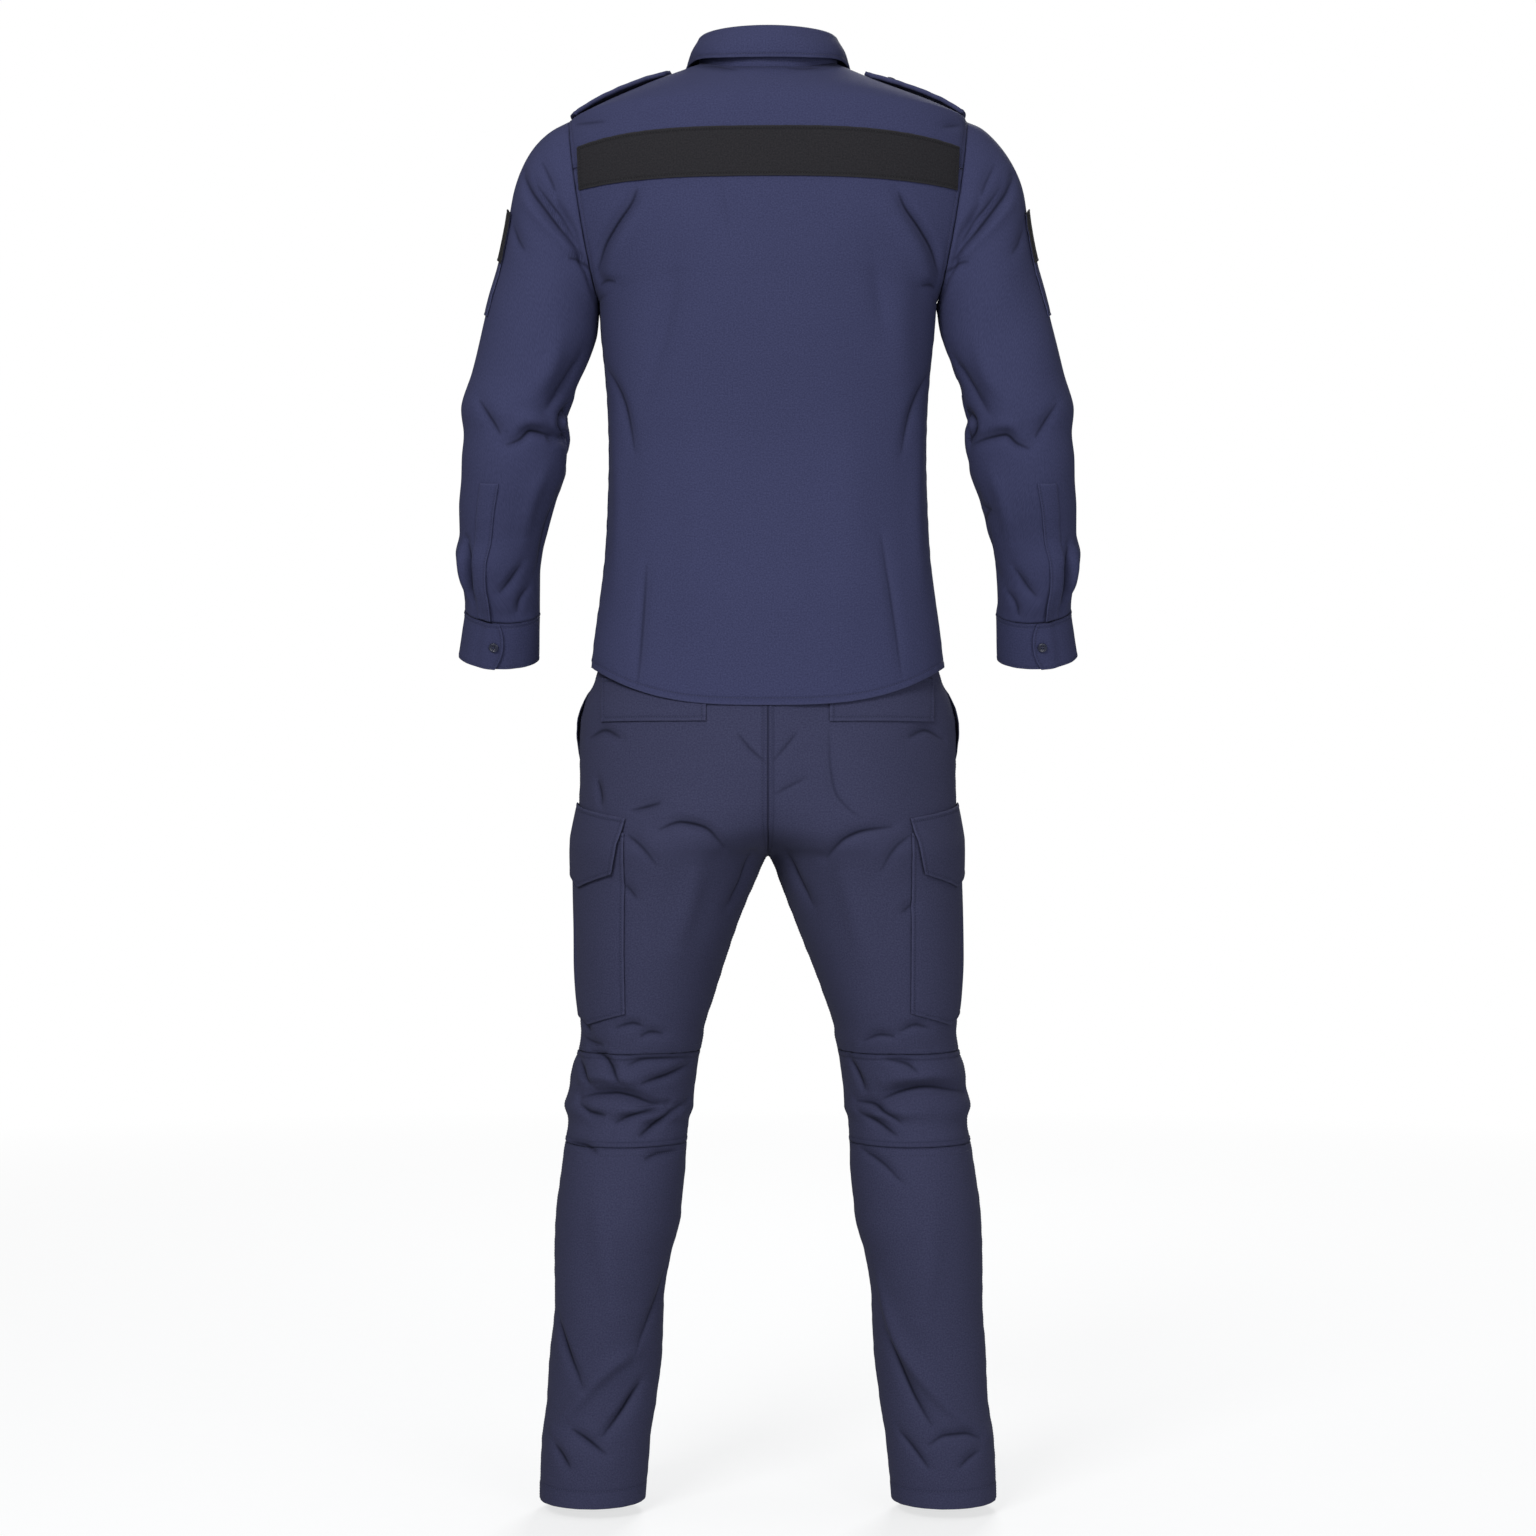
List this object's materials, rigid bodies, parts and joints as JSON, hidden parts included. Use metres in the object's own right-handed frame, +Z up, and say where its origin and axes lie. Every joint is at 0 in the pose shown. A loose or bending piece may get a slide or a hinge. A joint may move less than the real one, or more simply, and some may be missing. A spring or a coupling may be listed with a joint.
{
  "type": "uniform of long-sleeved shirt and cargo trousers",
  "caption": "Security guard uniform standing hollow as worn: long-sleeved shirt with collar, shoulder straps and a black back band, over cargo trousers with knee panels.",
  "frame": {"origin": "middle of the neck opening, level with the top of the yoke", "axes": "+Z up, +Y towards the back of the uniform, +X towards the wearer's left"},
  "size_m": [0.7076, 0.2647, 1.632],
  "materials": {
    "shirt_navy": "matt navy poplin",
    "trouser_navy": "matt navy twill",
    "band_black": "matt black cloth",
    "button_blue": "dark blue shirt button"
  },
  "bodies": {
    "root": {"back_band": "band_black", "back_calf_left": "trouser_navy", "back_calf_right": "trouser_navy", "back_knee_left": "trouser_navy", "back_knee_right": "trouser_navy", "back_thigh_left": "trouser_navy", "back_thigh_right": "trouser_navy", "cargo_flap_left": "trouser_navy", "cargo_flap_right": "trouser_navy", "cargo_pocket_left": "trouser_navy", "cargo_pocket_right": "trouser_navy", "collar_button": "button_blue", "collar_fall": "shirt_navy", "collar_stand": "shirt_navy", "cuff_button_left": "button_blue", "cuff_button_right": "button_blue", "cuff_left": "shirt_navy", "cuff_right": "shirt_navy", "fly": "trouser_navy", "front_button_1": "button_blue", "front_button_2": "button_blue", "front_button_3": "button_blue", "front_button_4": "button_blue", "front_button_5": "button_blue", "front_button_6": "button_blue", "front_placket": "shirt_navy", "seat_flap_left": "trouser_navy", "seat_flap_right": "trouser_navy", "shirt_back": "shirt_navy", "shirt_front_left": "shirt_navy", "shirt_front_right": "shirt_navy", "shirt_yoke": "shirt_navy", "shoulder_strap_left": "shirt_navy", "shoulder_strap_right": "shirt_navy", "side_pocket_facing_left": "trouser_navy", "side_pocket_facing_right": "trouser_navy", "sleeve_left": "shirt_navy", "sleeve_patch_left": "band_black", "sleeve_patch_right": "band_black", "sleeve_placket_left": "shirt_navy", "sleeve_placket_right": "shirt_navy", "sleeve_pocket_left": "shirt_navy", "sleeve_pocket_right": "shirt_navy", "sleeve_right": "shirt_navy", "strap_button_left": "button_blue", "strap_button_right": "button_blue", "trouser_front_left": "trouser_navy", "trouser_front_right": "trouser_navy", "waist_button": "button_blue", "waistband": "trouser_navy"}
  },
  "joints": []
}
